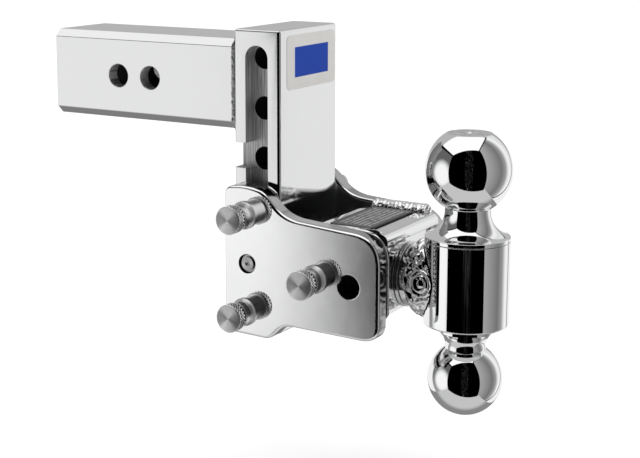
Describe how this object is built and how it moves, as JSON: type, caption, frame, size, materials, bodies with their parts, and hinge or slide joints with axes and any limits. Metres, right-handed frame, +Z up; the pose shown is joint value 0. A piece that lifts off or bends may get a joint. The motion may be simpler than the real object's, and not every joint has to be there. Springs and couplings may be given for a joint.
{
  "type": "trailer hitch ball mount",
  "caption": "Adjustable drop ball mount: square receiver shank, slotted upright, pinned side plates and a swivelling unit with a large and a small towing ball.",
  "frame": {"origin": "centre of the square shank on the axis of its first receiver-pin hole", "axes": "+X along the shank towards the balls, +Z up, Y across the vehicle"},
  "size_m": [0.3535, 0.1566, 0.2572],
  "materials": {
    "chrome": "bright polished chrome plate with faint brushing",
    "plain_steel": "ground steel, lightly plated",
    "pin_steel": "turned stainless steel",
    "knob_steel": "turned and knurled stainless steel, radially brushed end",
    "weld": "rippled weld bead under chrome plate",
    "badge": "white gloss decal with a plain blue device",
    "label": "grey satin label with plain light bars",
    "bronze": "oiled bearing bronze",
    "o_ring": "black nitrile rubber"
  },
  "bodies": {
    "frame": {"shank_tube": "chrome", "shank_weld": "weld", "upright": "chrome", "badge_plate": "badge", "side_plate_near": "chrome", "guide_key_near": "plain_steel", "block_weld_top_near": "weld", "block_weld_rear_near": "weld", "side_plate_far": "chrome", "guide_key_far": "plain_steel", "block_weld_top_far": "weld", "block_weld_rear_far": "weld", "swivel_block": "chrome", "rating_plate": "label", "swivel_bush": "bronze", "thrust_washer": "plain_steel", "retaining_screw": "plain_steel"},
    "ball_unit": {"swivel_stub": "chrome", "stub_weld": "weld", "ball_barrel": "chrome", "upper_ball": "chrome", "lower_ball": "chrome"},
    "top_pin": {"top_pin_shaft": "pin_steel", "top_pin_knob": "knob_steel", "top_pin_collar": "knob_steel", "top_pin_ring": "o_ring"},
    "bottom_pin": {"bottom_pin_shaft": "pin_steel", "bottom_pin_knob": "knob_steel", "bottom_pin_collar": "knob_steel", "bottom_pin_ring": "o_ring"},
    "swivel_pin": {"swivel_pin_shaft": "pin_steel", "swivel_pin_knob": "knob_steel", "swivel_pin_collar": "knob_steel", "swivel_pin_ring": "o_ring"}
  },
  "joints": [
    {"name": "top_pin_pull", "type": "slide", "parent": "frame", "child": "top_pin", "axis": [0, -1, 0], "range_m": [0, 0.12]},
    {"name": "bottom_pin_pull", "type": "slide", "parent": "frame", "child": "bottom_pin", "axis": [0, -1, 0], "range_m": [0, 0.12]},
    {"name": "swivel_pin_pull", "type": "slide", "parent": "frame", "child": "swivel_pin", "axis": [0, -1, 0], "range_m": [0, 0.12]},
    {"name": "ball_swivel", "type": "hinge", "parent": "frame", "child": "ball_unit", "pos_m": [0.23, 0, -0.1263], "axis": [1, 0, 0], "continuous": true}
  ]
}
